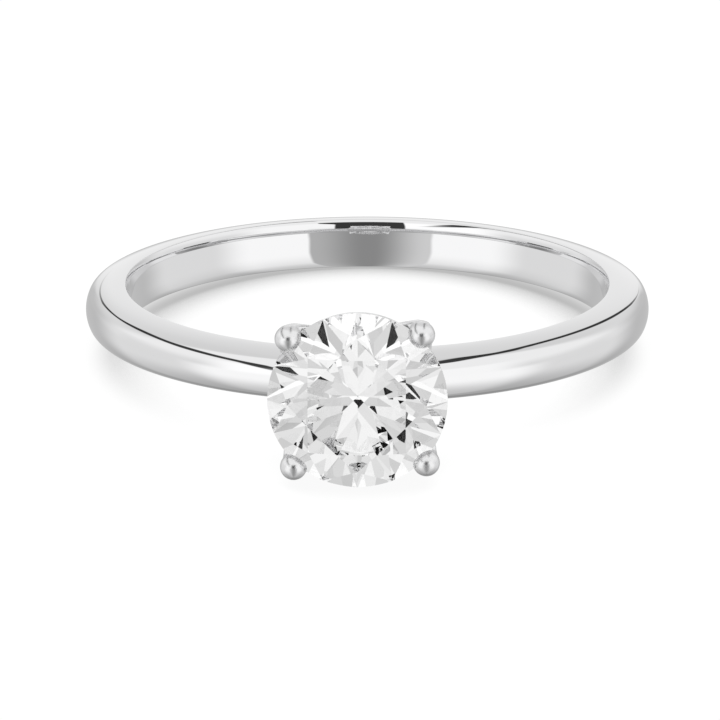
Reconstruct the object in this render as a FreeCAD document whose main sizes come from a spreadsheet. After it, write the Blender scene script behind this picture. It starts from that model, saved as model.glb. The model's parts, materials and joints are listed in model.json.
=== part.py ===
import FreeCAD, Part
import math
import os

import Sketcher
from FreeCAD import Placement, Rotation, Vector

# Four-prong solitaire engagement ring.
# The row frame has +Z along the finger and its origin at the centre of the finger hole.
# The stone faces -Y. Everything in the head is drawn in the head's own frame, whose +Z is
# the stone's axis and whose origin is the centre of the girdle plane, and then placed.

DRIVING_SIZES = [
    # shank: a D-shaped band with a comfort-fit inside
    ("bore_radius", 8.65),
    ("bore_land", 0.50),
    ("lip_entry_radius", 2.50),
    ("lip_entry_rise", 0.43),
    ("crest_radius", 8.77),
    ("band_width", 1.84),
    ("band_outer_radius", 10.20),
    ("side_arc_radius", 3.10),
    ("shoulder_arc_radius", 0.50),
    ("dome_arc_radius", 1.15),
    ("culet_well_radius", 1.25),
    ("culet_well_mouth", 10.35),
    ("culet_well_floor", 9.25),
    # head: where it stands on the shank, and its small twist about the stone's axis
    ("girdle_distance", 12.15),
    ("head_twist", 2.2),
    # prongs: wire bent from the foot of the head up past the girdle
    ("prong_wire_radius", 0.39),
    ("prong_bead_radius", 0.47),
    ("prong_bead_height", 0.08),
    ("prong_axis_radius", 3.26),
    ("prong_bend_start", 0.20),
    ("prong_bend_radius", 1.60),
    ("prong_bend_angle", 50.0),
    ("prong_foot_length", 1.00),
    ("prong_web_depth", 0.60),
    ("prong_web_inset", 0.48),
    ("prong_web_half_width", 0.85),
    ("prong_web_half_thickness", 0.32),
    ("prong_web_half_height", 0.36),
    # gallery rails: round wire rings
    ("lower_gallery_rail_radius", 1.75),
    ("lower_gallery_rail_wire", 0.36),
    ("lower_gallery_rail_depth", 1.92),
    ("upper_gallery_rail_radius", 2.62),
    ("upper_gallery_rail_wire", 0.28),
    ("upper_gallery_rail_depth", 0.92),
    # stone: round brilliant, heights measured from the girdle plane
    ("stone_radius", 3.125),
    ("girdle_thickness", 0.16),
    ("table_radius", 1.834),
    ("star_radius", 2.396),
    ("crown_angle", 35.0),
    ("pavilion_angle", 40.75),
    ("lower_girdle_radius", 0.72),
    ("culet_trim", 0.02),
]
SHEET_NAME = "Sizes"
MAIN_FACETS = 8
GIRDLE_FACETS = 16
CUT_MARGIN = 0.3
PRONG_AZIMUTHS = {
    "prong_upper_left": 135.0,
    "prong_upper_right": 45.0,
    "prong_lower_left": 225.0,
    "prong_lower_right": 315.0,
}

doc = FreeCAD.newDocument("EngagementRing")
sheet = doc.addObject("Spreadsheet::Sheet", SHEET_NAME)
for row, (alias, value) in enumerate(DRIVING_SIZES, start=1):
    sheet.set(f"A{row}", alias)
    sheet.set(f"B{row}", str(value))
    sheet.setAlias(f"B{row}", alias)
doc.recompute()

size = dict(DRIVING_SIZES)


def cell(alias):
    """The expression that reads one driving size from the sheet."""
    return f"{SHEET_NAME}.{alias}"


def worth(expression):
    """The number that an expression over the sheet comes to."""
    return float(sheet.evalExpression(expression))


def new_body(name):
    body = doc.addObject("PartDesign::Body", name)
    body.Label = name
    return body


def origin_feature(body, role):
    for feature in body.Origin.OriginFeatures:
        if feature.Role == role:
            return feature
    raise RuntimeError(f"no origin feature {role}")


def new_sketch(body, name, plane, offset=None):
    sketch = body.newObject("Sketcher::SketchObject", name)
    sketch.AttachmentSupport = [(origin_feature(body, plane), "")]
    sketch.MapMode = "FlatFace"
    if offset is not None:
        sketch.AttachmentOffset = offset
    return sketch


def constrain(sketch, *arguments):
    return sketch.addConstraint(Sketcher.Constraint(*arguments))


def dimension(sketch, kind, *arguments, value, expression, name):
    """Adds a named dimension and binds it to the sheet."""
    index = constrain(sketch, kind, *arguments, value)
    sketch.renameConstraint(index, name)
    sketch.setExpression(f"Constraints.{name}", expression)


def place_point(sketch, geometry, end, at, x_expression, y_expression, name):
    """Fixes one end point of a piece of sketch geometry from the sketch's origin."""
    dimension(sketch, "DistanceX", -1, 1, geometry, end, value=at.x,
              expression=x_expression, name=f"{name}_x")
    dimension(sketch, "DistanceY", -1, 1, geometry, end, value=at.y,
              expression=y_expression, name=f"{name}_y")


def head_placement(azimuth=0.0):
    """The head's frame in the row frame, turned about the stone's axis."""
    stand_up = Rotation(Vector(1, 0, 0), 90)
    turn = Rotation(Vector(0, 0, 1), azimuth)
    return Placement(Vector(0, -size["girdle_distance"], 0), stand_up.multiply(turn))


def unit(angle):
    """A unit vector in a sketch, at an angle in radians from its X axis."""
    return Vector(math.cos(angle), math.sin(angle), 0)


# ---------------------------------------------------------------------------------------
# Shank
# ---------------------------------------------------------------------------------------

def arc_between(centre, radius, start, end):
    """The arc that runs counter-clockwise about its centre from one point to another."""
    first = math.atan2(start.y - centre.y, start.x - centre.x)
    last = math.atan2(end.y - centre.y, end.x - centre.x)
    circle = Part.Circle(centre, Vector(0, 0, 1), radius)
    return Part.ArcOfCircle(circle, first, last if last > first else last + 2 * math.pi)


def band_profile_points():
    """Centres and tangent points of the upper half of the band's section (x = radius)."""
    half_width = size["band_width"] / 2
    half_land = size["bore_land"] / 2
    crest = Vector(size["crest_radius"], half_width, 0)
    land_end = Vector(size["bore_radius"], half_land, 0)
    # A wide entry arc leaves the land, and a tighter rim arc carries on from it to the crest.
    entry_centre = Vector(land_end.x + size["lip_entry_radius"], land_end.y, 0)
    entry_angle = math.asin(size["lip_entry_rise"] / size["lip_entry_radius"])
    inward = Vector(math.cos(entry_angle), -math.sin(entry_angle), 0)
    entry_end = entry_centre - inward * size["lip_entry_radius"]
    to_crest = crest - entry_end
    rim_radius = to_crest.dot(to_crest) / (2 * to_crest.dot(inward))
    rim_centre = entry_end + inward * rim_radius
    side_centre = Vector(crest.x, crest.y - size["side_arc_radius"], 0)
    dome_centre = Vector(size["band_outer_radius"] - size["dome_arc_radius"], 0, 0)
    # The shoulder arc touches both its neighbours from inside, so its centre is where two
    # circles about their centres cross.
    from_side = size["side_arc_radius"] - size["shoulder_arc_radius"]
    from_dome = size["dome_arc_radius"] - size["shoulder_arc_radius"]
    base = dome_centre - side_centre
    gap = base.Length
    along = (from_side ** 2 - from_dome ** 2 + gap ** 2) / (2 * gap)
    across = math.sqrt(from_side ** 2 - along ** 2)
    forward = base.normalize()
    outward = Vector(forward.y, -forward.x, 0)
    shoulder_centre = side_centre + forward * along + outward * across
    side_end = side_centre + (shoulder_centre - side_centre).normalize() * size["side_arc_radius"]
    dome_end = dome_centre + (shoulder_centre - dome_centre).normalize() * size["dome_arc_radius"]
    return {
        "crest": crest, "land_end": land_end,
        "entry_centre": entry_centre, "entry_end": entry_end,
        "rim_centre": rim_centre, "rim_radius": rim_radius,
        "side_centre": side_centre, "side_end": side_end,
        "shoulder_centre": shoulder_centre,
        "dome_centre": dome_centre, "dome_end": dome_end,
    }


def flipped(point):
    return Vector(point.x, -point.y, 0)


def draw_band_profile(sketch):
    """A closed section: land, entry, rim, side, shoulder and dome, the same above and below."""
    p = band_profile_points()
    land = Part.LineSegment(flipped(p["land_end"]), p["land_end"])
    entry_up = arc_between(p["entry_centre"], size["lip_entry_radius"],
                           p["entry_end"], p["land_end"])
    rim_up = arc_between(p["rim_centre"], p["rim_radius"], p["crest"], p["entry_end"])
    side_up = arc_between(p["side_centre"], size["side_arc_radius"], p["side_end"], p["crest"])
    shoulder_up = arc_between(p["shoulder_centre"], size["shoulder_arc_radius"],
                              p["dome_end"], p["side_end"])
    dome = arc_between(p["dome_centre"], size["dome_arc_radius"],
                       flipped(p["dome_end"]), p["dome_end"])
    shoulder_down = arc_between(flipped(p["shoulder_centre"]), size["shoulder_arc_radius"],
                                flipped(p["side_end"]), flipped(p["dome_end"]))
    side_down = arc_between(flipped(p["side_centre"]), size["side_arc_radius"],
                            flipped(p["crest"]), flipped(p["side_end"]))
    rim_down = arc_between(flipped(p["rim_centre"]), p["rim_radius"],
                           flipped(p["entry_end"]), flipped(p["crest"]))
    entry_down = arc_between(flipped(p["entry_centre"]), size["lip_entry_radius"],
                             flipped(p["land_end"]), flipped(p["entry_end"]))
    curves = [land, entry_up, rim_up, side_up, shoulder_up, dome,
              shoulder_down, side_down, rim_down, entry_down]
    LAND, ENTRY_UP, RIM_UP, SIDE_UP, SHOULDER_UP, DOME = range(6)
    SHOULDER_DOWN, SIDE_DOWN, RIM_DOWN, ENTRY_DOWN = range(6, 10)
    START, END, CENTRE = 1, 2, 3
    sketch.addGeometry(curves, False)

    # joints between the curves
    constrain(sketch, "Tangent", LAND, END, ENTRY_UP, END)
    constrain(sketch, "Tangent", ENTRY_UP, START, RIM_UP, END)
    constrain(sketch, "Coincident", RIM_UP, START, SIDE_UP, END)
    constrain(sketch, "Tangent", SIDE_UP, START, SHOULDER_UP, END)
    constrain(sketch, "Tangent", SHOULDER_UP, START, DOME, END)
    constrain(sketch, "Tangent", DOME, START, SHOULDER_DOWN, END)
    constrain(sketch, "Tangent", SHOULDER_DOWN, START, SIDE_DOWN, END)
    constrain(sketch, "Coincident", SIDE_DOWN, START, RIM_DOWN, END)
    constrain(sketch, "Tangent", RIM_DOWN, START, ENTRY_DOWN, END)
    constrain(sketch, "Tangent", ENTRY_DOWN, START, LAND, START)

    # the same above and below the middle of the band
    constrain(sketch, "Symmetric", LAND, START, LAND, END, -1)
    constrain(sketch, "Symmetric", ENTRY_UP, START, ENTRY_DOWN, END, -1)
    constrain(sketch, "Symmetric", SIDE_UP, END, SIDE_DOWN, START, -1)
    constrain(sketch, "Symmetric", SIDE_UP, CENTRE, SIDE_DOWN, CENTRE, -1)
    constrain(sketch, "PointOnObject", DOME, CENTRE, -1)
    constrain(sketch, "Equal", SHOULDER_UP, SHOULDER_DOWN)

    # driving sizes
    dimension(sketch, "DistanceX", -1, 1, LAND, END, value=size["bore_radius"],
              expression=cell("bore_radius"), name="bore_radius")
    dimension(sketch, "DistanceY", LAND, START, LAND, END, value=size["bore_land"],
              expression=cell("bore_land"), name="bore_land")
    dimension(sketch, "Radius", ENTRY_UP, value=size["lip_entry_radius"],
              expression=cell("lip_entry_radius"), name="lip_entry_radius")
    dimension(sketch, "DistanceY", LAND, END, ENTRY_UP, START, value=size["lip_entry_rise"],
              expression=cell("lip_entry_rise"), name="lip_entry_rise")
    dimension(sketch, "DistanceX", -1, 1, SIDE_UP, END, value=size["crest_radius"],
              expression=cell("crest_radius"), name="crest_radius")
    dimension(sketch, "DistanceY", SIDE_DOWN, START, SIDE_UP, END, value=size["band_width"],
              expression=cell("band_width"), name="band_width")
    dimension(sketch, "DistanceX", -1, 1, SIDE_UP, CENTRE, value=size["crest_radius"],
              expression=cell("crest_radius"), name="side_centre")
    dimension(sketch, "Radius", SIDE_UP, value=size["side_arc_radius"],
              expression=cell("side_arc_radius"), name="side_arc_radius")
    dimension(sketch, "Radius", SHOULDER_UP, value=size["shoulder_arc_radius"],
              expression=cell("shoulder_arc_radius"), name="shoulder_arc_radius")
    dimension(sketch, "Radius", DOME, value=size["dome_arc_radius"],
              expression=cell("dome_arc_radius"), name="dome_arc_radius")
    dimension(sketch, "DistanceX", -1, 1, DOME, CENTRE,
              value=size["band_outer_radius"] - size["dome_arc_radius"],
              expression=f"{cell('band_outer_radius')} - {cell('dome_arc_radius')}",
              name="dome_centre")


def make_shank_blank():
    """The band turned about the finger's axis, with a well bored for the stone's point."""
    body = new_body("shank_blank")
    profile = new_sketch(body, "band_profile", "XZ_Plane")
    draw_band_profile(profile)
    band = body.newObject("PartDesign::Revolution", "band")
    band.Profile = profile
    band.ReferenceAxis = (profile, ["V_Axis"])
    band.Angle = 360
    doc.recompute()
    full_volume = body.Shape.Volume

    # the well is a cone about the stone's axis, a little wider than the stone's point
    mouth = Vector(size["culet_well_radius"], -size["culet_well_mouth"], 0)
    floor = Vector(0, -size["culet_well_floor"], 0)
    centre = Vector(0, mouth.y, 0)
    cone = new_sketch(body, "culet_well_section", "XY_Plane")
    cone.addGeometry([
        Part.LineSegment(floor, mouth),
        Part.LineSegment(mouth, centre),
        Part.LineSegment(centre, floor),
    ], False)
    constrain(cone, "Coincident", 0, 2, 1, 1)
    constrain(cone, "Coincident", 1, 2, 2, 1)
    constrain(cone, "Coincident", 2, 2, 0, 1)
    constrain(cone, "PointOnObject", 0, 1, -2)
    constrain(cone, "PointOnObject", 2, 1, -2)
    constrain(cone, "Horizontal", 1)
    place_point(cone, 0, 2, mouth, cell("culet_well_radius"), f"-{cell('culet_well_mouth')}", "mouth")
    dimension(cone, "DistanceY", -1, 1, 0, 1, value=floor.y,
              expression=f"-{cell('culet_well_floor')}", name="floor_y")
    well = body.newObject("PartDesign::Groove", "culet_well")
    well.Profile = cone
    well.ReferenceAxis = (cone, ["V_Axis"])
    well.Angle = 360
    doc.recompute()
    if not body.Shape.Volume < full_volume:
        raise RuntimeError("the culet well cuts nothing")
    return body


# ---------------------------------------------------------------------------------------
# Stone
# ---------------------------------------------------------------------------------------

def make_stone():
    """A cylinder as wide as the girdle, ground to the facets of a round brilliant."""
    body = new_body("round_brilliant")
    radius = cell("stone_radius")
    table = cell("table_radius")
    star = cell("star_radius")
    lower = cell("lower_girdle_radius")
    edge = f"{cell('girdle_thickness')} / 2"
    crown_slope = f"tan({cell('crown_angle')} * 1 deg)"
    pavilion_slope = f"tan({cell('pavilion_angle')} * 1 deg)"
    crown_height = f"({radius} - {table}) * {crown_slope}"
    pavilion_depth = f"{radius} * {pavilion_slope}"

    rough_circle = new_sketch(body, "rough_circle", "XY_Plane")
    circle = Part.Circle(Vector(0, 0, 0), Vector(0, 0, 1), size["stone_radius"])
    rough_circle.addGeometry(circle, False)
    constrain(rough_circle, "Coincident", 0, 3, -1, 1)
    dimension(rough_circle, "Radius", 0, value=size["stone_radius"], expression=radius,
              name="stone_radius")
    rough = body.newObject("PartDesign::Pad", "rough")
    rough.Profile = rough_circle
    rough.SideType = "Two sides"
    rough.setExpression("Length", f"{crown_height} + {edge}")
    rough.setExpression("Length2", f"{pavilion_depth} + {edge} - {cell('culet_trim')}")
    doc.recompute()

    # Slopes that follow from the meeting points of the facets. A star tip, and a tip where two
    # lower girdle facets meet, both lie where two main facets cross, half a step round.
    half = f"cos({180 / MAIN_FACETS} deg)"
    quarter = f"cos({90 / MAIN_FACETS} deg)"
    crossing = f"{radius} * {quarter}"
    apothem = f"{table} * {half}"
    star_height = f"({radius} - {star} * {half}) * {crown_slope}"
    star_slope = f"({crown_height} - {star_height}) / ({star} - {apothem})"
    star_crossing = f"{apothem} + {crown_height} / ({star_slope})"
    upper_slope = f"{star_height} / ({crossing} - {star} * {quarter})"
    lower_depth = f"({radius} - {lower} * {half}) * {pavilion_slope}"
    lower_slope = f"{lower_depth} / ({crossing} - {lower} * {quarter})"

    step = 360 / MAIN_FACETS
    families = [
        # name, side, count, first azimuth, radius where it crosses the girdle edge, slope
        ("crown_mains", 1, MAIN_FACETS, step / 2, radius, crown_slope),
        ("stars", 1, MAIN_FACETS, 0.0, star_crossing, star_slope),
        ("upper_girdles", 1, GIRDLE_FACETS, step / 4, crossing, upper_slope),
        ("pavilion_mains", -1, MAIN_FACETS, step / 2, radius, pavilion_slope),
        ("lower_girdles", -1, GIRDLE_FACETS, step / 4, crossing, lower_slope),
    ]
    for name, side, count, azimuth, meets, slope in families:
        reach = f"({crown_height if side > 0 else pavilion_depth} + {CUT_MARGIN})"
        grind_facets(body, name, side, count, azimuth, f"({meets})", f"({slope})", reach, edge)
    body.Placement = head_placement()
    body.setExpression("Placement.Base.y", f"-{cell('girdle_distance')}")
    return body


def grind_facets(body, name, side, count, azimuth, meets, slope, reach, edge):
    """Cuts one flat facet with a wedge seen edge-on, and repeats it round the stone's axis."""
    inner_x = f"{meets} - {reach} / {slope}"
    inner_y = f"{side} * ({edge} + {reach})"
    outer_x = f"{cell('stone_radius')} + {CUT_MARGIN}"
    outer_y = f"{side} * ({edge} + ({meets} - ({outer_x})) * {slope})"
    inner = Vector(worth(inner_x), worth(inner_y), 0)
    outer = Vector(worth(outer_x), worth(outer_y), 0)
    corner = Vector(outer.x, inner.y, 0)
    turned = Placement(Vector(0, 0, 0), Rotation(Vector(0, 1, 0), azimuth))
    wedge = new_sketch(body, f"{name}_wedge", "XZ_Plane", turned)
    wedge.addGeometry([
        Part.LineSegment(inner, outer),
        Part.LineSegment(outer, corner),
        Part.LineSegment(corner, inner),
    ], False)
    constrain(wedge, "Coincident", 0, 2, 1, 1)
    constrain(wedge, "Coincident", 1, 2, 2, 1)
    constrain(wedge, "Coincident", 2, 2, 0, 1)
    constrain(wedge, "Vertical", 1)
    constrain(wedge, "Horizontal", 2)
    place_point(wedge, 0, 1, inner, inner_x, inner_y, "inner")
    place_point(wedge, 0, 2, outer, outer_x, outer_y, "outer")
    before = body.Shape.Volume
    cut = body.newObject("PartDesign::Pocket", f"{name}_cut")
    cut.Profile = wedge
    cut.Type = "ThroughAll"
    cut.SideType = "Symmetric"
    doc.recompute()
    one_cut = body.Shape.Volume
    ring = body.newObject("PartDesign::PolarPattern", name)
    ring.Originals = [cut]
    ring.Axis = (origin_feature(body, "Z_Axis"), [""])
    ring.Angle = 360
    ring.Occurrences = count
    body.Tip = ring
    doc.recompute()
    if not body.Shape.Volume < one_cut < before:
        raise RuntimeError(f"{name} cuts nothing")


# ---------------------------------------------------------------------------------------
# Head
# ---------------------------------------------------------------------------------------

def make_prong_blank(name, azimuth):
    """Round wire swept from the bead straight down past the girdle, round a bend and inwards."""
    body = new_body(f"{name}_blank")
    axis_x = size["prong_axis_radius"]
    top = Vector(axis_x, size["prong_bead_height"], 0)
    bend_start = Vector(axis_x, -size["prong_bend_start"], 0)
    centre = bend_start - Vector(size["prong_bend_radius"], 0, 0)
    turn = math.radians(size["prong_bend_angle"])
    bend_end = centre + unit(-turn) * size["prong_bend_radius"]
    foot = bend_end + Vector(-math.sin(turn), -math.cos(turn), 0) * size["prong_foot_length"]

    path = new_sketch(body, f"{name}_path", "XZ_Plane")
    path.addGeometry([
        Part.LineSegment(top, bend_start),
        arc_between(centre, size["prong_bend_radius"], bend_end, bend_start),
        Part.LineSegment(bend_end, foot),
    ], False)
    constrain(path, "Tangent", 0, 2, 1, 2)
    constrain(path, "Tangent", 1, 1, 2, 1)
    constrain(path, "Vertical", 0)
    place_point(path, 0, 1, top, cell("prong_axis_radius"), cell("prong_bead_height"), "top")
    dimension(path, "DistanceY", -1, 1, 0, 2, value=bend_start.y,
              expression=f"-{cell('prong_bend_start')}", name="bend_start")
    dimension(path, "Radius", 1, value=size["prong_bend_radius"],
              expression=cell("prong_bend_radius"), name="bend_radius")
    dimension(path, "Angle", 2, value=-math.pi / 2 - turn,
              expression=f"-90 deg - {cell('prong_bend_angle')} * 1 deg", name="foot_angle")
    dimension(path, "Distance", 2, value=size["prong_foot_length"],
              expression=cell("prong_foot_length"), name="foot_length")

    section_at = Placement(Vector(axis_x, 0, size["prong_bead_height"]), Rotation())
    section = new_sketch(body, f"{name}_section", "XY_Plane", section_at)
    section.addGeometry(Part.Circle(Vector(0, 0, 0), Vector(0, 0, 1), size["prong_wire_radius"]), False)
    constrain(section, "Coincident", 0, 3, -1, 1)
    dimension(section, "Radius", 0, value=size["prong_wire_radius"],
              expression=cell("prong_wire_radius"), name="wire_radius")
    section.setExpression("AttachmentOffset.Base.x", cell("prong_axis_radius"))
    section.setExpression("AttachmentOffset.Base.z", cell("prong_bead_height"))
    wire = body.newObject("PartDesign::AdditivePipe", f"{name}_wire")
    wire.Profile = section
    wire.Spine = (path, ["Edge1", "Edge2", "Edge3"])
    doc.recompute()

    # a ball finishes each end of the wire: the bead over the stone, and the foot
    bend_angle = f"{cell('prong_bend_angle')} * 1 deg"
    foot_x = (f"{cell('prong_axis_radius')} - {cell('prong_bend_radius')} * (1 - cos({bend_angle}))"
              f" - {cell('prong_foot_length')} * sin({bend_angle})")
    foot_z = (f"-{cell('prong_bend_start')} - {cell('prong_bend_radius')} * sin({bend_angle})"
              f" - {cell('prong_foot_length')} * cos({bend_angle})")
    balls = [
        ("bead", "prong_bead_radius", cell("prong_axis_radius"), cell("prong_bead_height")),
        ("foot", "prong_wire_radius", foot_x, foot_z),
    ]
    for place, radius, across, up in balls:
        ball = body.newObject("PartDesign::AdditiveSphere", f"{name}_{place}")
        ball.AttachmentSupport = [(origin_feature(body, "XY_Plane"), "")]
        ball.MapMode = "FlatFace"
        ball.setExpression("Radius", cell(radius))
        ball.setExpression("AttachmentOffset.Base.x", across)
        ball.setExpression("AttachmentOffset.Base.z", up)
        doc.recompute()

    # the web spreads the prong sideways just behind the girdle
    web = body.newObject("PartDesign::AdditiveEllipsoid", f"{name}_web")
    web.AttachmentSupport = [(origin_feature(body, "XY_Plane"), "")]
    web.MapMode = "FlatFace"
    web.setExpression("AttachmentOffset.Base.x",
                      f"{cell('prong_axis_radius')} - {cell('prong_web_inset')}")
    web.setExpression("AttachmentOffset.Base.z", f"-{cell('prong_web_depth')}")
    for radius, alias in (("Radius1", "prong_web_half_height"),
                          ("Radius2", "prong_web_half_thickness"),
                          ("Radius3", "prong_web_half_width")):
        web.setExpression(radius, cell(alias))
    doc.recompute()
    body.Placement = head_placement(azimuth + size["head_twist"])
    body.setExpression("Placement.Base.y", f"-{cell('girdle_distance')}")
    return body


def make_rail_blank(name):
    """A round wire ring about the stone's axis."""
    ring = doc.addObject("Part::Torus", f"{name}_blank")
    ring.setExpression("Radius1", cell(f"{name}_radius"))
    ring.setExpression("Radius2", cell(f"{name}_wire"))
    ring.Placement = head_placement()
    ring.setExpression("Placement.Base.y", f"{cell(f'{name}_depth')} - {cell('girdle_distance')}")
    return ring


def fuse(name, shapes):
    joined = doc.addObject("Part::MultiFuse", name)
    joined.Shapes = shapes
    return joined


def cut_away(name, base, tool):
    """The base with the tool's volume taken out, so that the two meet face to face."""
    result = doc.addObject("Part::Cut", name)
    result.Base = base
    result.Tool = tool
    result.Label = name
    return result


stone = make_stone()
shank_blank = make_shank_blank()
prong_blanks = {name: make_prong_blank(name, azimuth) for name, azimuth in PRONG_AZIMUTHS.items()}
lower_blank = make_rail_blank("lower_gallery_rail")
upper_blank = make_rail_blank("upper_gallery_rail")
all_prongs = fuse("all_prongs", list(prong_blanks.values()))
head_foot = fuse("head_foot", [lower_blank] + list(prong_blanks.values()))

# Each prong is notched for the stone, each rail is notched for the prongs, and the shank is
# filed out where the foot of the head stands in it.
nodes = {"round_brilliant": stone}
for name, blank in prong_blanks.items():
    nodes[name] = cut_away(name, blank, stone)
nodes["lower_gallery_rail"] = cut_away("lower_gallery_rail", lower_blank, all_prongs)
nodes["upper_gallery_rail"] = cut_away("upper_gallery_rail", upper_blank, all_prongs)
nodes["shank"] = cut_away("shank", shank_blank, head_foot)
doc.recompute()

for item in doc.Objects:
    if "Invalid" in item.State or "Error" in item.State:
        raise RuntimeError(f"{item.Name} failed: {item.State}")
for name, item in nodes.items():
    if item.Shape.isNull() or not item.Shape.isValid():
        raise RuntimeError(f"{name} has no valid shape")

os.makedirs("parts", exist_ok=True)
for name, item in nodes.items():
    item.Shape.exportStep(f"parts/{name}.step")
    print(name, "solids", len(item.Shape.Solids), "volume", round(item.Shape.Volume, 3))
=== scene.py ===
import json
import math

import bmesh
import bpy
from mathutils import Matrix, Vector


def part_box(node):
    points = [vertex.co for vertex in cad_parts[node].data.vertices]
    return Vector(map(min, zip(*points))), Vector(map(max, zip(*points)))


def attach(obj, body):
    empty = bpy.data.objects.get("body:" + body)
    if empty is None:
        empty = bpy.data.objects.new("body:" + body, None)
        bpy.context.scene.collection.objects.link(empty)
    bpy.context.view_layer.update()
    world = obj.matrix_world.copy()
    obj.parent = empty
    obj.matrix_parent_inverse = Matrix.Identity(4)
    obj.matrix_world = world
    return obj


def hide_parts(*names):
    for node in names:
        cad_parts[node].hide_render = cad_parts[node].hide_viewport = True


# Four-prong solitaire engagement ring in polished white metal with a round brilliant.
# The finger runs along +Z, the stone faces -Y, and everything is in metres.
# Lengths below are in millimetres, the jeweller's unit, and become metres in mm().

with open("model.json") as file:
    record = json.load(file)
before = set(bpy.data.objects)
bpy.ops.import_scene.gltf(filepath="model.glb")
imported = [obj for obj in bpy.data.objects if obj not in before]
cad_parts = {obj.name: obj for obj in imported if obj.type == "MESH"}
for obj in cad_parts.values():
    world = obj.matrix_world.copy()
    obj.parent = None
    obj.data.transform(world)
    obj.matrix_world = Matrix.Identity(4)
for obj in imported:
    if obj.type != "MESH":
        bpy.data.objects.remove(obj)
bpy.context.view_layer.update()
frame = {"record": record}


def mm(length):
    return length * 0.001


# ---------------------------------------------------------------------------------------
# Sizes: read from the frame where it gives them, otherwise the design's own
# ---------------------------------------------------------------------------------------

shank_low, shank_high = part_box("shank")
stone_low, stone_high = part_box("round_brilliant")
finger_bore = frame["record"]["mounts"][0]

BORE_RADIUS = finger_bore["dims"]["r_mm"]
BORE_LAND = finger_bore["dims"]["length_mm"]
BAND_OUTER_RADIUS = shank_high.x * 1000
BAND_HALF_WIDTH = shank_high.z * 1000
CREST_RADIUS = 8.77
SIDE_ARC_RADIUS = 3.10
SHOULDER_ARC_RADIUS = 0.50
DOME_ARC_RADIUS = 1.15
LIP_ENTRY_RADIUS = 2.50
LIP_ENTRY_RISE = 0.43
CREST_SOFTENING = 0.035
WELL_RADIUS = 1.25
WELL_MOUTH = 10.35
WELL_FLOOR = 9.25

STONE_RADIUS = stone_high.x * 1000
GIRDLE_THICKNESS = 0.16
TABLE_RADIUS = 0.5869 * STONE_RADIUS
STAR_RADIUS = 0.7667 * STONE_RADIUS
LOWER_GIRDLE_RADIUS = 0.2304 * STONE_RADIUS
CROWN_ANGLE = math.radians(35.0)
PAVILION_ANGLE = math.radians(40.75)
CROWN_HEIGHT = (STONE_RADIUS - TABLE_RADIUS) * math.tan(CROWN_ANGLE)
GIRDLE_DISTANCE = -stone_low.y * 1000 - CROWN_HEIGHT - GIRDLE_THICKNESS / 2
CULET_DEPTH = stone_high.y * 1000 + GIRDLE_DISTANCE

HEAD_TWIST = math.radians(2.2)
PRONG_AXIS_RADIUS = 3.26
PRONG_WIRE_RADIUS = 0.39
PRONG_BEAD_RADIUS = 0.47
PRONG_BEAD_HEIGHT = 0.08
PRONG_BEND_START = 0.20
PRONG_BEND_RADIUS = 1.60
PRONG_BEND_ANGLE = math.radians(50.0)
PRONG_FOOT_LENGTH = 1.00
WEB_DEPTH = 0.60
WEB_HALF_HEIGHT = 0.26
WEB_EXTRA_WIDTH = 0.46
WEB_INSET = 0.48
SEAT_GAP = 0.008
LOWER_RAIL = {"radius": 1.75, "wire": 0.36, "depth": 1.92}
UPPER_RAIL = {"radius": 2.62, "wire": 0.28, "depth": 0.92}
PRONG_AZIMUTHS = {
    "prong_upper_left": math.radians(135),
    "prong_upper_right": math.radians(45),
    "prong_lower_left": math.radians(225),
    "prong_lower_right": math.radians(315),
}


# ---------------------------------------------------------------------------------------
# Camera: a long lens looking down a little on the ring
# ---------------------------------------------------------------------------------------

CAMERA_DISTANCE = 250.0
CAMERA_ELEVATION = math.radians(15.59)
CAMERA_AZIMUTH = math.radians(1.6)
CAMERA_TARGET = Vector((-0.264, 0.0, -2.045))
CAMERA_LENS = 344.5
SENSOR_WIDTH = 36.0

camera_direction = Vector((
    math.sin(CAMERA_AZIMUTH) * math.cos(CAMERA_ELEVATION),
    -math.cos(CAMERA_AZIMUTH) * math.cos(CAMERA_ELEVATION),
    math.sin(CAMERA_ELEVATION),
))


def make_camera():
    data = bpy.data.cameras.new("camera")
    data.sensor_width = SENSOR_WIDTH
    data.lens = CAMERA_LENS
    data.clip_start = mm(10)
    data.clip_end = mm(10000)
    camera = bpy.data.objects.new("camera", data)
    bpy.context.scene.collection.objects.link(camera)
    camera.location = camera_direction * mm(CAMERA_DISTANCE)
    camera.rotation_euler = (mm(CAMERA_TARGET) - camera.location).to_track_quat("-Z", "Y").to_euler()
    bpy.context.scene.camera = camera


# ---------------------------------------------------------------------------------------
# Mesh helpers
# ---------------------------------------------------------------------------------------

def mesh_object(name, points, faces, smooth=True):
    """A mesh from points in millimetres."""
    mesh = bpy.data.meshes.new(name)
    mesh.from_pydata([tuple(mm(c) for c in point) for point in points], [], faces)
    mesh.update()
    if smooth:
        mesh.shade_smooth()
    piece = bpy.data.objects.new(name, mesh)
    bpy.context.scene.collection.objects.link(piece)
    return piece


def tube_faces(rings, around, closed):
    """Quads between successive rings of points; closed joins the last ring to the first."""
    faces = []
    for i in range(rings if closed else rings - 1):
        here = i * around
        there = ((i + 1) % rings) * around
        for j in range(around):
            k = (j + 1) % around
            faces.append((here + j, here + k, there + k, there + j))
    return faces


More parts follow.
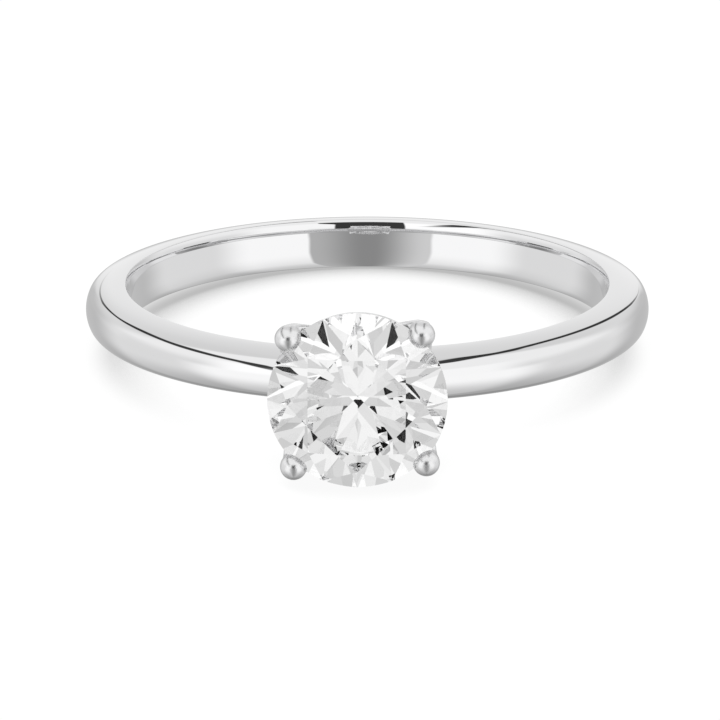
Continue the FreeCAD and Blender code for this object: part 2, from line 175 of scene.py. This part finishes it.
def subtract(piece, cutter):
    """Cuts one closed mesh out of another and throws the cutter away."""
    cut = piece.modifiers.new("cut", "BOOLEAN")
    cut.operation = "DIFFERENCE"
    cut.solver = "EXACT"
    cut.object = cutter
    seen = bpy.context.evaluated_depsgraph_get()
    before = piece.data
    piece.data = bpy.data.meshes.new_from_object(piece.evaluated_get(seen))
    piece.modifiers.clear()
    bpy.data.meshes.remove(before)
    cutter_mesh = cutter.data
    bpy.data.objects.remove(cutter)
    bpy.data.meshes.remove(cutter_mesh)


def from_head(point, azimuth=0.0):
    """A point of the head's own frame (+Z up the stone's axis from the girdle) in the row frame."""
    turned = Matrix.Rotation(azimuth, 3, "Z") @ Vector(point)
    return Vector((turned.x, -turned.z - GIRDLE_DISTANCE, turned.y))


def arc_points(centre, radius, first, last, steps):
    return [
        (centre[0] + radius * math.cos(first + (last - first) * i / steps),
         centre[1] + radius * math.sin(first + (last - first) * i / steps))
        for i in range(steps + 1)
    ]


# ---------------------------------------------------------------------------------------
# Shank
# ---------------------------------------------------------------------------------------

def heading_of(vector):
    """The angle of a flat vector from the X axis."""
    return math.atan2(vector.y, vector.x)


def soften_corner(before, corner, after, steps):
    """A quadratic curve that rounds a corner between two points on its sides."""
    points = []
    for i in range(steps + 1):
        t = i / steps
        points.append(tuple(
            (1 - t) ** 2 * a + 2 * t * (1 - t) * b + t ** 2 * c
            for a, b, c in zip(before, corner, after)
        ))
    return points


def band_half_profile():
    """Half of the band's section from the middle of its dome over the crest to the bore."""
    half_width = BAND_HALF_WIDTH
    side = Vector((CREST_RADIUS, half_width - SIDE_ARC_RADIUS))
    dome = Vector((BAND_OUTER_RADIUS - DOME_ARC_RADIUS, 0.0))
    from_side = SIDE_ARC_RADIUS - SHOULDER_ARC_RADIUS
    from_dome = DOME_ARC_RADIUS - SHOULDER_ARC_RADIUS
    gap = (dome - side).length
    forward = (dome - side).normalized()
    outward = Vector((forward.y, -forward.x))
    along = (from_side ** 2 - from_dome ** 2 + gap ** 2) / (2 * gap)
    across = math.sqrt(from_side ** 2 - along ** 2)
    shoulder = side + forward * along + outward * across
    if shoulder.x < dome.x:
        shoulder = side + forward * along - outward * across
    dome_end = heading_of(shoulder - dome)
    side_end = heading_of(shoulder - side)
    points = arc_points(dome, DOME_ARC_RADIUS, 0, dome_end, 9)
    points += arc_points(shoulder, SHOULDER_ARC_RADIUS, dome_end, side_end, 14)[1:]
    side_last = math.pi / 2 - CREST_SOFTENING / SIDE_ARC_RADIUS
    points += arc_points(side, SIDE_ARC_RADIUS, side_end, side_last, 13)[1:]

    # lip: a wide entry arc off the land and a tighter rim arc up to the crest
    land = BORE_LAND / 2
    crest = Vector((CREST_RADIUS, half_width))
    entry = Vector((BORE_RADIUS + LIP_ENTRY_RADIUS, land))
    entry_angle = math.asin(LIP_ENTRY_RISE / LIP_ENTRY_RADIUS)
    inward = Vector((math.cos(entry_angle), -math.sin(entry_angle)))
    entry_end = entry - inward * LIP_ENTRY_RADIUS
    to_crest = crest - entry_end
    rim_radius = to_crest.dot(to_crest) / (2 * to_crest.dot(inward))
    rim = entry_end + inward * rim_radius
    rim_start = heading_of(crest - rim) + CREST_SOFTENING / rim_radius
    lip_points = arc_points(rim, rim_radius, rim_start, math.pi - entry_angle, 11)
    lip_points += arc_points(entry, LIP_ENTRY_RADIUS, math.pi - entry_angle, math.pi, 9)[1:]
    points += soften_corner(points[-1], tuple(crest), lip_points[0], 5)[1:-1]
    points += lip_points
    points += [(BORE_RADIUS, land * f) for f in (0.66, 0.33, 0.0)]
    return points


def make_shank():
    half = band_half_profile()
    lower = [(r, -z) for r, z in reversed(half[1:-1])]
    profile = half + lower
    segments = 720
    points = []
    for i in range(segments):
        angle = 2 * math.pi * i / segments
        points += [(r * math.cos(angle), r * math.sin(angle), z) for r, z in profile]
    shank = mesh_object("shank_polished", points, tube_faces(segments, len(profile), True))
    subtract(shank, make_well())
    return shank


def make_well():
    """The conical well under the point of the stone, as a cutter."""
    sides = 96
    rim = [(WELL_RADIUS * math.cos(2 * math.pi * i / sides), -WELL_MOUTH,
            WELL_RADIUS * math.sin(2 * math.pi * i / sides)) for i in range(sides)]
    points = rim + [(0, -WELL_MOUTH, 0), (0, -WELL_FLOOR, 0)]
    faces = []
    for i in range(sides):
        j = (i + 1) % sides
        faces += [(i, j, sides), (j, i, sides + 1)]
    return mesh_object("well_cutter", points, faces, smooth=False)


# ---------------------------------------------------------------------------------------
# Head: prongs and gallery rails
# ---------------------------------------------------------------------------------------

def prong_path():
    """Centres and directions down a prong, as (radius, height, tangent angle), from the bead."""
    stations = []
    straight_steps, bend_steps, foot_steps = 22, 26, 10
    straight = PRONG_BEAD_HEIGHT + PRONG_BEND_START
    for i in range(straight_steps):
        stations.append((PRONG_AXIS_RADIUS, PRONG_BEAD_HEIGHT - straight * i / straight_steps, 0.0))
    centre = PRONG_AXIS_RADIUS - PRONG_BEND_RADIUS
    for i in range(bend_steps):
        angle = PRONG_BEND_ANGLE * i / bend_steps
        stations.append((centre + PRONG_BEND_RADIUS * math.cos(angle),
                         -PRONG_BEND_START - PRONG_BEND_RADIUS * math.sin(angle), angle))
    x = centre + PRONG_BEND_RADIUS * math.cos(PRONG_BEND_ANGLE)
    z = -PRONG_BEND_START - PRONG_BEND_RADIUS * math.sin(PRONG_BEND_ANGLE)
    for i in range(foot_steps + 1):
        step = PRONG_FOOT_LENGTH * i / foot_steps
        stations.append((x - step * math.sin(PRONG_BEND_ANGLE),
                         z - step * math.cos(PRONG_BEND_ANGLE), PRONG_BEND_ANGLE))
    return stations


def make_prong(node, azimuth):
    """A claw: domed bead, wire with a web behind the girdle, bend and rounded foot."""
    around = 56
    cap_steps = 14
    rings = []

    def ring(x, z, tilt, radius, web=0.0):
        """One ring of points about (x, z), tilted with the bend; web sweeps its sides inward."""
        points = []
        for j in range(around):
            angle = 2 * math.pi * j / around
            side = math.sin(angle)
            out = radius * math.cos(angle) - web * WEB_INSET * side ** 2
            points.append((x + out * math.cos(tilt),
                           radius * side + web * WEB_EXTRA_WIDTH * side ** 3,
                           z - out * math.sin(tilt)))
        rings.append(points)

    for i in range(1, cap_steps + 1):
        angle = math.pi / 2 * i / cap_steps
        ring(PRONG_AXIS_RADIUS, PRONG_BEAD_HEIGHT + PRONG_BEAD_RADIUS * math.cos(angle), 0.0,
             PRONG_BEAD_RADIUS * math.sin(angle))
    stations = prong_path()
    for x, z, tilt in stations[1:]:
        below = PRONG_BEAD_HEIGHT - z
        neck = min(1.0, below / 0.45)
        ease = neck * neck * (3 - 2 * neck)
        radius = PRONG_BEAD_RADIUS + (PRONG_WIRE_RADIUS - PRONG_BEAD_RADIUS) * ease
        ring(x, z, tilt, radius, web=math.exp(-((-z - WEB_DEPTH) / WEB_HALF_HEIGHT) ** 2))
    x, z, tilt = stations[-1]
    for i in range(1, cap_steps):
        angle = math.pi / 2 * i / cap_steps
        step = PRONG_WIRE_RADIUS * math.sin(angle)
        ring(x - step * math.sin(tilt), z - step * math.cos(tilt), tilt,
             PRONG_WIRE_RADIUS * math.cos(angle))

    points = [point for one in rings for point in one]
    faces = tube_faces(len(rings), around, False)
    top = (PRONG_AXIS_RADIUS, 0.0, PRONG_BEAD_HEIGHT + PRONG_BEAD_RADIUS)
    bottom = (x - PRONG_WIRE_RADIUS * math.sin(tilt), 0.0, z - PRONG_WIRE_RADIUS * math.cos(tilt))
    points += [top, bottom]
    last = (len(rings) - 1) * around
    for j in range(around):
        k = (j + 1) % around
        faces.append((len(points) - 2, k, j))
        faces.append((len(points) - 1, last + j, last + k))
    placed = [from_head(point, azimuth + HEAD_TWIST) for point in points]
    prong = mesh_object(f"{node}_polished", placed, faces)
    subtract(prong, make_stone("seat_cutter", SEAT_GAP))
    return prong


def make_rail(node, radius, wire, depth):
    segments, around = 288, 48
    points = []
    for i in range(segments):
        angle = 2 * math.pi * i / segments
        for j in range(around):
            turn = 2 * math.pi * j / around
            out = radius + wire * math.cos(turn)
            points.append(from_head((out * math.cos(angle), out * math.sin(angle),
                                     wire * math.sin(turn) - depth)))
    return mesh_object(f"{node}_polished", points, tube_faces(segments, around, True))


# ---------------------------------------------------------------------------------------
# Stone
# ---------------------------------------------------------------------------------------

def facet_planes():
    """Every facet of the brilliant as (outward normal, distance from the girdle's centre)."""
    half = math.pi / 8
    quarter = math.pi / 16
    edge = GIRDLE_THICKNESS / 2
    crown_slope = math.tan(CROWN_ANGLE)
    pavilion_slope = math.tan(PAVILION_ANGLE)
    apothem = TABLE_RADIUS * math.cos(half)
    crossing = STONE_RADIUS * math.cos(quarter)
    star_height = (STONE_RADIUS - STAR_RADIUS * math.cos(half)) * crown_slope
    star_slope = (CROWN_HEIGHT - star_height) / (STAR_RADIUS - apothem)
    upper_slope = star_height / (crossing - STAR_RADIUS * math.cos(quarter))
    lower_depth = (STONE_RADIUS - LOWER_GIRDLE_RADIUS * math.cos(half)) * pavilion_slope
    lower_slope = lower_depth / (crossing - LOWER_GIRDLE_RADIUS * math.cos(quarter))
    families = [
        # side, count, first azimuth, radius where it meets the girdle's edge, slope
        (1, 8, half, STONE_RADIUS, crown_slope),
        (1, 8, 0.0, apothem + CROWN_HEIGHT / star_slope, star_slope),
        (1, 16, quarter, crossing, upper_slope),
        (-1, 8, half, STONE_RADIUS, pavilion_slope),
        (-1, 16, quarter, crossing, lower_slope),
    ]
    planes = [(Vector((0, 0, 1)), CROWN_HEIGHT + edge), (Vector((0, 0, -1)), CULET_DEPTH)]
    for side, count, first, meets, slope in families:
        for i in range(count):
            azimuth = first + 2 * math.pi * i / count
            normal = Vector((slope * math.cos(azimuth), slope * math.sin(azimuth), side))
            length = normal.length
            planes.append((normal / length, (slope * meets + edge) / length))
    return planes


def make_stone(name, grow=0.0):
    """A prism as wide as the girdle, cut back plane by plane to the facets of the brilliant."""
    girdle_sides = 128
    height = CULET_DEPTH + CROWN_HEIGHT
    radius = STONE_RADIUS + grow
    solid = bmesh.new()
    bmesh.ops.create_cone(solid, cap_ends=True, segments=girdle_sides, depth=2 * height,
                          radius1=radius, radius2=radius)
    for normal, distance in facet_planes():
        geometry = solid.verts[:] + solid.edges[:] + solid.faces[:]
        cut = bmesh.ops.bisect_plane(solid, geom=geometry, dist=1e-6, plane_co=normal * (distance + grow),
                                     plane_no=normal, clear_outer=True)
        rim = [e for e in cut["geom_cut"] if isinstance(e, bmesh.types.BMEdge)]
        bmesh.ops.contextual_create(solid, geom=rim)
    bmesh.ops.remove_doubles(solid, verts=solid.verts[:], dist=1e-5)
    bmesh.ops.recalc_face_normals(solid, faces=solid.faces[:])
    for vertex in solid.verts:
        vertex.co = mm(from_head(vertex.co))
    bmesh.ops.recalc_face_normals(solid, faces=solid.faces[:])
    mesh = bpy.data.meshes.new(name)
    solid.to_mesh(mesh)
    solid.free()
    stone = bpy.data.objects.new(name, mesh)
    bpy.context.scene.collection.objects.link(stone)
    return stone


# ---------------------------------------------------------------------------------------
# Materials
# ---------------------------------------------------------------------------------------

class Nodes:
    """Short calls for the maths in a node tree."""

    def __init__(self, tree):
        self.tree = tree
        tree.nodes.clear()

    def add(self, kind, **settings):
        node = self.tree.nodes.new(kind)
        for key, value in settings.items():
            setattr(node, key, value)
        return node

    def link(self, source, target):
        self.tree.links.new(source, target)

    def feed(self, socket, value):
        if isinstance(value, bpy.types.NodeSocket):
            self.link(value, socket)
        else:
            socket.default_value = value

    def maths(self, operation, *values):
        node = self.add("ShaderNodeMath", operation=operation)
        for socket, value in zip(node.inputs, values):
            self.feed(socket, value)
        return node.outputs[0]

    def dot(self, a, b):
        node = self.add("ShaderNodeVectorMath", operation="DOT_PRODUCT")
        self.feed(node.inputs[0], a)
        self.feed(node.inputs[1], b)
        return node.outputs["Value"]

    def length(self, vector):
        node = self.add("ShaderNodeVectorMath", operation="LENGTH")
        self.link(vector, node.inputs[0])
        return node.outputs["Value"]

    def mix(self, factor, a, b):
        node = self.add("ShaderNodeMix", data_type="FLOAT")
        for socket, given in zip(node.inputs[:1] + node.inputs[2:4], (factor, a, b)):
            self.feed(socket, given)
        return node.outputs[0]

    def cubic(self, value, coefficients):
        a, b, c, d = coefficients
        total = self.maths("MULTIPLY_ADD", value, d, c)
        total = self.maths("MULTIPLY_ADD", value, total, b)
        return self.maths("MULTIPLY_ADD", value, total, a)

    def ramp(self, value, low, high, start, end):
        """A smooth step from start to end as the value goes from low to high."""
        node = self.add("ShaderNodeMapRange", interpolation_type="SMOOTHSTEP")
        for socket, given in zip(node.inputs[:5], (value, low, high, start, end)):
            self.feed(socket, given)
        return node.outputs[0]


def polished_metal(name, smoothest, hazy):
    """Rhodium-bright white metal: mirror polish with faint polishing lines and tiny wear."""
    material = bpy.data.materials.new(name)
    material.use_nodes = True
    n = Nodes(material.node_tree)
    out = n.add("ShaderNodeOutputMaterial")
    shader = n.add("ShaderNodeBsdfPrincipled")
    shader.inputs["Base Color"].default_value = (0.80, 0.80, 0.805, 1)
    shader.inputs["Metallic"].default_value = 1.0
    place = n.add("ShaderNodeTexCoord").outputs["Object"]
    haze = n.add("ShaderNodeTexNoise")
    haze.inputs["Scale"].default_value = 900
    haze.inputs["Detail"].default_value = 3
    n.link(place, haze.inputs["Vector"])
    n.link(n.ramp(haze.outputs["Fac"], 0.35, 0.75, smoothest, hazy), shader.inputs["Roughness"])
    lines = n.add("ShaderNodeTexNoise")
    lines.inputs["Scale"].default_value = 9000
    lines.inputs["Detail"].default_value = 2
    n.link(place, lines.inputs["Vector"])
    bump = n.add("ShaderNodeBump")
    bump.inputs["Strength"].default_value = 0.02
    bump.inputs["Distance"].default_value = mm(0.002)
    n.link(lines.outputs["Fac"], bump.inputs["Height"])
    n.link(bump.outputs["Normal"], shader.inputs["Normal"])
    n.link(shader.outputs["BSDF"], out.inputs["Surface"])
    return material


def clear_stone():
    """Colourless diamond: sharp flat facets, with the faintest polish haze."""
    material = bpy.data.materials.new("clear_stone")
    material.use_nodes = True
    n = Nodes(material.node_tree)
    out = n.add("ShaderNodeOutputMaterial")
    shader = n.add("ShaderNodeBsdfPrincipled")
    shader.inputs["Base Color"].default_value = (1, 1, 1, 1)
    shader.inputs["Transmission Weight"].default_value = 1.0
    shader.inputs["IOR"].default_value = 2.417
    shader.inputs["Specular Tint"].default_value = (0.15, 0.15, 0.15, 1)
    place = n.add("ShaderNodeTexCoord").outputs["Object"]
    polish = n.add("ShaderNodeTexNoise")
    polish.inputs["Scale"].default_value = 4000
    n.link(place, polish.inputs["Vector"])
    n.link(n.ramp(polish.outputs["Fac"], 0.62, 0.8, 0.0, 0.02), shader.inputs["Roughness"])
    n.link(shader.outputs["BSDF"], out.inputs["Surface"])
    return material


# ---------------------------------------------------------------------------------------
# Studio: a white tent with a seam overhead on each side, over a pale table
# ---------------------------------------------------------------------------------------

FLOOR_TILT = math.radians(-5.9)

# Each seam runs where direction . across equals a cubic in (direction.y - turn), one cubic
# ahead of the turn and another behind it. It widens over "starts" from the front, and
# narrows in two stages as it goes back. The directions and the right seam's cubics are
# least-squares fits to where the reflections lie on the band, and the left seam's cubics
# are worked out from the same measurements.
SEAMS = (
    {"across": (0.715, -0.104, 0.691), "side": -1, "turn": 0.60, "starts": (-1.3, -0.5),
     "ahead": (0.022, 0.085, 0.0, 0.0), "behind": (0.022, 0.02, 0.0, -2.93),
     "half_width": (0.082, 0.052, 0.005), "narrows": ((0.1, 0.5), (0.72, 0.95))},
    {"across": (0.956, -0.059, -0.287), "side": 1, "turn": 0.63, "starts": (-0.5, -0.1),
     "ahead": (-0.058, -0.087, 0.052, 0.0), "behind": (-0.058, -0.130, 2.790, -3.324),
     "half_width": (0.074, 0.019, 0.012), "narrows": ((0.46, 0.70), (0.84, 0.93))},
)


def tent_walls(n, x, z, front):
    """Above the table: side walls, a bright panel either side of the camera, and behind the
    ring a wall with a dim corner on each side."""
    behind = n.ramp(z, 0.10, 0.75, 0.97, 0.82)
    side = n.ramp(z, 0.05, 0.35, 0.87, 1.04)
    walls = n.mix(n.ramp(front, -0.7, -0.3, 1.0, 0.0), side, behind)
    panel = n.maths("MULTIPLY", n.ramp(front, 0.3, 0.65, 0.0, 1.0), n.ramp(z, 0.36, 0.46, 1.0, 0.0))
    walls = n.mix(panel, walls, n.ramp(x, -0.3, 0.3, 1.25, 1.15))
    corner = n.maths("MULTIPLY", n.ramp(front, -0.99, -0.95, 0.0, 0.36),
                     n.ramp(front, -0.85, -0.45, 1.0, 0.0))
    return n.maths("SUBTRACT", walls, n.maths("MULTIPLY", corner, n.ramp(z, 0.10, 0.50, 1.0, 0.1)))


def table_light(n, z, front, heading):
    """What the polished surfaces see of the table: bright ahead, darker close under the ring,
    and dark straight ahead, where the camera stands over it."""
    table = n.ramp(front, -0.82, -0.45, 0.58, 0.86)
    table = n.maths("ADD", table, n.ramp(front, 0.1, 0.5, 0.0, 0.30))
    table = n.maths("MULTIPLY", table, n.ramp(z, -0.97, -0.27, 0.54, 1.0))
    lap = n.maths("ADD", n.ramp(heading, -0.50, -0.02, 0.74, 0.30),
                  n.ramp(heading, 0.05, 0.50, 0.0, 0.22))
    return n.mix(n.ramp(front, 0.855, 0.875, 0.0, 1.0), table, lap)


def stone_light(n, z, heading, direction):
    """What the stone gathers: mottled and pale, bright from the side panels, black at the lens."""
    room = n.add("ShaderNodeTexNoise")
    room.inputs["Scale"].default_value = 4.0
    room.inputs["Detail"].default_value = 1.0
    n.link(direction, room.inputs["Vector"])
    pale = n.ramp(room.outputs["Fac"], 0.34, 0.66, 0.58, 0.93)
    panels = n.maths("MULTIPLY", n.ramp(z, -0.45, -0.15, 0.0, 1.0),
                     n.ramp(n.maths("ABSOLUTE", heading), 0.62, 0.95, 0.0, 1.0))
    off_lens = n.maths("ABSOLUTE", n.maths("ADD", heading, 0.03))
    height = n.maths("MULTIPLY", n.ramp(z, 0.17, 0.19, 0.0, 1.0), n.ramp(z, 0.50, 0.52, 1.0, 0.0))
    lens = n.maths("MULTIPLY", n.ramp(off_lens, 0.20, 0.22, 1.0, 0.0), height)
    return n.mix(lens, n.mix(panels, pale, 1.06), 0.0)


def seam_shadow(n, seam, direction, x, y):
    """How dark one seam makes a direction, from 0 beside it to 1 in its middle."""
    along = n.maths("SUBTRACT", y, seam["turn"])
    bend = n.mix(n.ramp(along, -0.001, 0.001, 0.0, 1.0),
                 n.cubic(along, seam["ahead"]), n.cubic(along, seam["behind"]))
    away = n.maths("ABSOLUTE", n.maths("SUBTRACT", n.dot(direction, seam["across"]), bend))
    widest, middle, thinnest = seam["half_width"]
    first, second = seam["narrows"]
    half_width = n.mix(n.ramp(y, *second, 0.0, 1.0), n.ramp(y, *first, widest, middle), thinnest)
    half_width = n.maths("MULTIPLY", half_width, n.ramp(y, *seam["starts"], 0.001, 1.0))
    dark = n.ramp(n.maths("DIVIDE", away, half_width), 0.75, 1.25, 1.0, 0.0)
    return n.maths("MULTIPLY", dark, n.ramp(n.maths("MULTIPLY", x, seam["side"]), 0.0, 0.04, 0.0, 1.0))


def camera_shadow(n, z, heading):
    """The camera and whoever stands behind it, from 0 outside their outline to 1 inside."""
    right_edge = n.ramp(z, 0.26, 0.42, 0.30, 0.46)
    dark = n.maths("MULTIPLY", n.ramp(heading, -0.30, -0.28, 0.0, 1.0),
                   n.ramp(n.maths("SUBTRACT", heading, right_edge), -0.01, 0.01, 1.0, 0.0))
    dark = n.maths("MULTIPLY", dark, n.ramp(z, -0.03, 0.0, 0.0, 1.0))
    return n.maths("MULTIPLY", dark, n.ramp(z, 0.44, 0.47, 1.0, 0.0))


def make_tent():
    """The world's light by direction. The background itself is plain white."""
    world = bpy.data.worlds.new("tent")
    bpy.context.scene.world = world
    world.use_nodes = True
    n = Nodes(world.node_tree)
    out = n.add("ShaderNodeOutputWorld")
    background = n.add("ShaderNodeBackground")
    background.inputs["Color"].default_value = (1, 1, 1, 1)
    direction = n.add("ShaderNodeTexCoord").outputs["Generated"]
    x = n.dot(direction, (1, 0, 0))
    y = n.dot(direction, (0, 1, 0))
    z = n.dot(direction, (0, 0, 1))
    ahead = n.maths("MULTIPLY", y, -1.0)
    heading = n.maths("ARCTAN2", x, ahead)
    level = n.maths("SUBTRACT", 1.0, n.maths("MULTIPLY", z, z))
    front = n.maths("DIVIDE", ahead, n.maths("SQRT", n.maths("MAXIMUM", level, 1e-4)))

    light = n.mix(n.ramp(z, -0.10, 0.08, 0.0, 1.0),
                  table_light(n, z, front, heading), tent_walls(n, x, z, front))
    above = n.ramp(z, 0.10, 0.40, 0.0, 0.95)
    for seam in SEAMS:
        dark = n.maths("MULTIPLY", seam_shadow(n, seam, direction, x, y), above)
        light = n.maths("MULTIPLY", light, n.maths("SUBTRACT", 1.0, dark))
    person = n.maths("MULTIPLY", camera_shadow(n, z, heading), 0.96)
    light = n.maths("MULTIPLY", light, n.maths("SUBTRACT", 1.0, person))

    path = n.add("ShaderNodeLightPath")
    light = n.mix(path.outputs["Is Transmission Ray"], light, stone_light(n, z, heading, direction))
    n.link(n.mix(path.outputs["Is Camera Ray"], light, 1.0), background.inputs["Strength"])
    n.link(background.outputs["Background"], out.inputs["Surface"])


def make_floor():
    """A pale table that touches the stone's lowest edge in front and the band behind."""
    front = Vector((0.0, -GIRDLE_DISTANCE, -STONE_RADIUS))
    slope = Matrix.Rotation(-FLOOR_TILT, 3, "X")
    size = 900.0
    corners = [(-size, -size, 0), (size, -size, 0), (size, size, 0), (-size, size, 0)]
    points = [front + slope @ Vector(corner) + Vector((0, 0, -0.02)) for corner in corners]
    floor = mesh_object("table_top", points, [(0, 1, 2, 3)], smooth=False)
    material = bpy.data.materials.new("table_white")
    material.use_nodes = True
    n = Nodes(material.node_tree)
    out = n.add("ShaderNodeOutputMaterial")
    shader = n.add("ShaderNodeEmission")
    shade = n.add("ShaderNodeAmbientOcclusion", samples=16)
    shade.inputs["Distance"].default_value = mm(3.0)
    place = n.add("ShaderNodeTexCoord").outputs["Object"]
    # the contact shade is deepest inside the band, towards the back
    depth = n.ramp(n.dot(place, (0, 1, 0)), mm(-9), mm(0), 0.95, 0.50)
    depth = n.mix(n.ramp(n.length(place), mm(9.0), mm(10.5), 0.0, 1.0), depth, 0.95)
    n.link(n.ramp(shade.outputs["AO"], 0.35, 0.85, depth, 1.03), shader.inputs["Strength"])
    n.link(shader.outputs["Emission"], out.inputs["Surface"])
    floor.data.materials.append(material)
    floor.visible_glossy = False
    floor.visible_transmission = False


# ---------------------------------------------------------------------------------------
# Assembly
# ---------------------------------------------------------------------------------------

def finish_piece(piece, node, material):
    piece.data.materials.clear()
    piece.data.materials.append(material)
    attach(piece, "root")
    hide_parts(node)


metal = polished_metal("polished_white_metal", 0.010, 0.030)
claw_metal = polished_metal("claw_white_metal", 0.24, 0.29)
finish_piece(make_shank(), "shank", metal)
for node, azimuth in PRONG_AZIMUTHS.items():
    finish_piece(make_prong(node, azimuth), node, claw_metal)
finish_piece(make_rail("lower_gallery_rail", **LOWER_RAIL), "lower_gallery_rail", metal)
finish_piece(make_rail("upper_gallery_rail", **UPPER_RAIL), "upper_gallery_rail", metal)
finish_piece(make_stone("round_brilliant_faceted"), "round_brilliant", clear_stone())

make_camera()
make_tent()
make_floor()

scene = bpy.context.scene
scene.view_settings.view_transform = "Standard"
scene.cycles.max_bounces = 32
scene.cycles.transmission_bounces = 32
scene.cycles.glossy_bounces = 12
